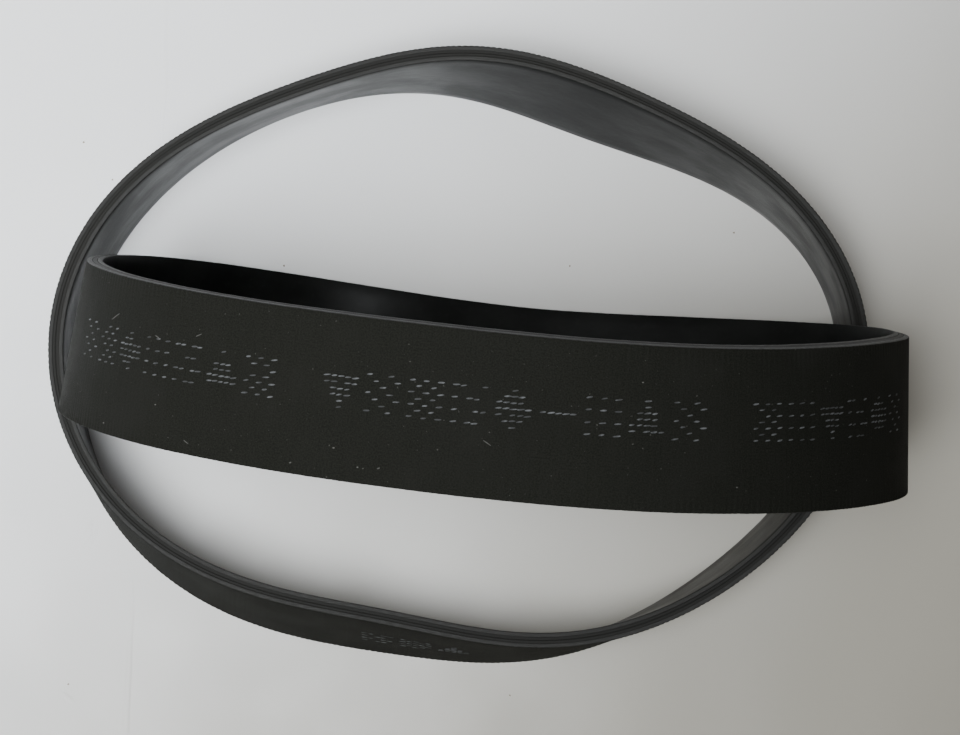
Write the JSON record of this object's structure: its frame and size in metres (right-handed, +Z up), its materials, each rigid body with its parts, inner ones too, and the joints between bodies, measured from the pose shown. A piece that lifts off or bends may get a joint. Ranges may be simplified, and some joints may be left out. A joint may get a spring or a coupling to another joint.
{
  "type": "flat drive belt set",
  "caption": "Pair of flat endless rubber drive belts, one standing on its edge as an oval, the other upright inside it like a hoop.",
  "frame": {"origin": "on the surface that the pair rests on, under the middle of the pair's box", "axes": "+Z up; +X along the longer way across the pair; +Y away from the near side, so the upper belt's axis is nearly along Y"},
  "size_m": [0.1086, 0.0802, 0.0797],
  "materials": {
    "ground_rubber": "matt, finely ground across the belt",
    "smooth_rubber": "smooth, faint sheen",
    "gum": "cut edge, matt",
    "s_twist_cord": "twisted polyester",
    "z_twist_cord": "twisted polyester"
  },
  "bodies": {
    "lower_belt": {"lower_back_cover": "ground_rubber", "lower_outer_gum": "gum", "lower_s_cord": "s_twist_cord", "lower_z_cord": "z_twist_cord", "lower_inner_gum": "gum", "lower_drive_cover": "smooth_rubber"},
    "upper_belt": {"upper_back_cover": "ground_rubber", "upper_outer_gum": "gum", "upper_s_cord": "s_twist_cord", "upper_z_cord": "z_twist_cord", "upper_inner_gum": "gum", "upper_drive_cover": "smooth_rubber"}
  },
  "joints": [
    {"name": "upper_belt_lift", "type": "slide", "parent": "lower_belt", "child": "upper_belt", "axis": [0, 0, 1], "range_m": [0, 0.07]}
  ]
}
